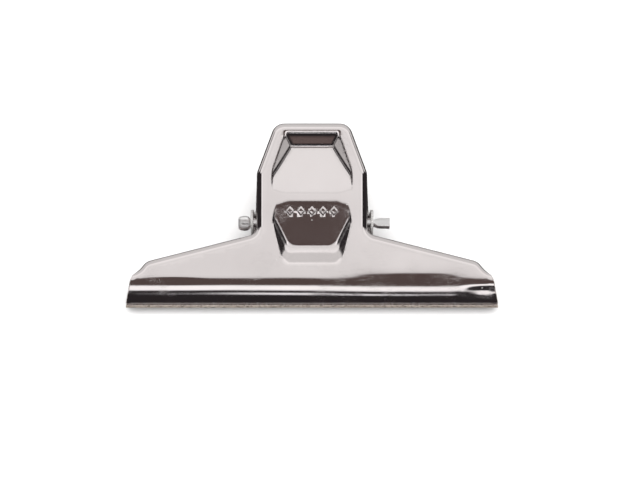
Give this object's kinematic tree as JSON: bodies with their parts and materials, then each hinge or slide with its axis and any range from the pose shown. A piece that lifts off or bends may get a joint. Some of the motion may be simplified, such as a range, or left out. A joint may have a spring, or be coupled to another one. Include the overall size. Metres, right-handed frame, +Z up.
{
  "type": "letter clip",
  "caption": "Wide sprung letter clip: pressed, nickel-plated jaw plates with rolled lips and dished finger grips turn on a wire pin against a torsion spring.",
  "frame": {"origin": "middle of the bounding box's bottom face: the clip lies on its rear plate, whose flat outer face is on Z = 0", "axes": "+X along the jaws, +Y from the jaws towards the handles, +Z up out of the rear plate towards the front plate"},
  "size_m": [0.125, 0.0628, 0.03],
  "materials": {
    "nickel_plate": "mirror-bright nickel plating on pressed sheet steel, fine handling scratches",
    "plated_wire": "bright zinc plating on drawn wire with coined ends",
    "spring_wire": "drawn spring steel with a light oil film"
  },
  "bodies": {
    "rear_jaw": {"rear_jaw_plate": "nickel_plate", "torsion_spring": "spring_wire"},
    "front_jaw": {"front_jaw_plate": "nickel_plate"},
    "axle": {"axle_pin": "plated_wire"}
  },
  "joints": [
    {"name": "jaw_hinge", "type": "hinge", "parent": "rear_jaw", "child": "front_jaw", "pos_m": [0, -0.00171, 0.009], "axis": [-1, 0, 0], "range_deg": [0, 42], "stiffness_Nm_per_rad": 0.9, "springref_deg": -51.57, "deforming": ["torsion_spring"]},
    {"name": "axle_spin", "type": "hinge", "parent": "rear_jaw", "child": "axle", "pos_m": [0, -0.00171, 0.009], "axis": [1, 0, 0], "continuous": true}
  ]
}
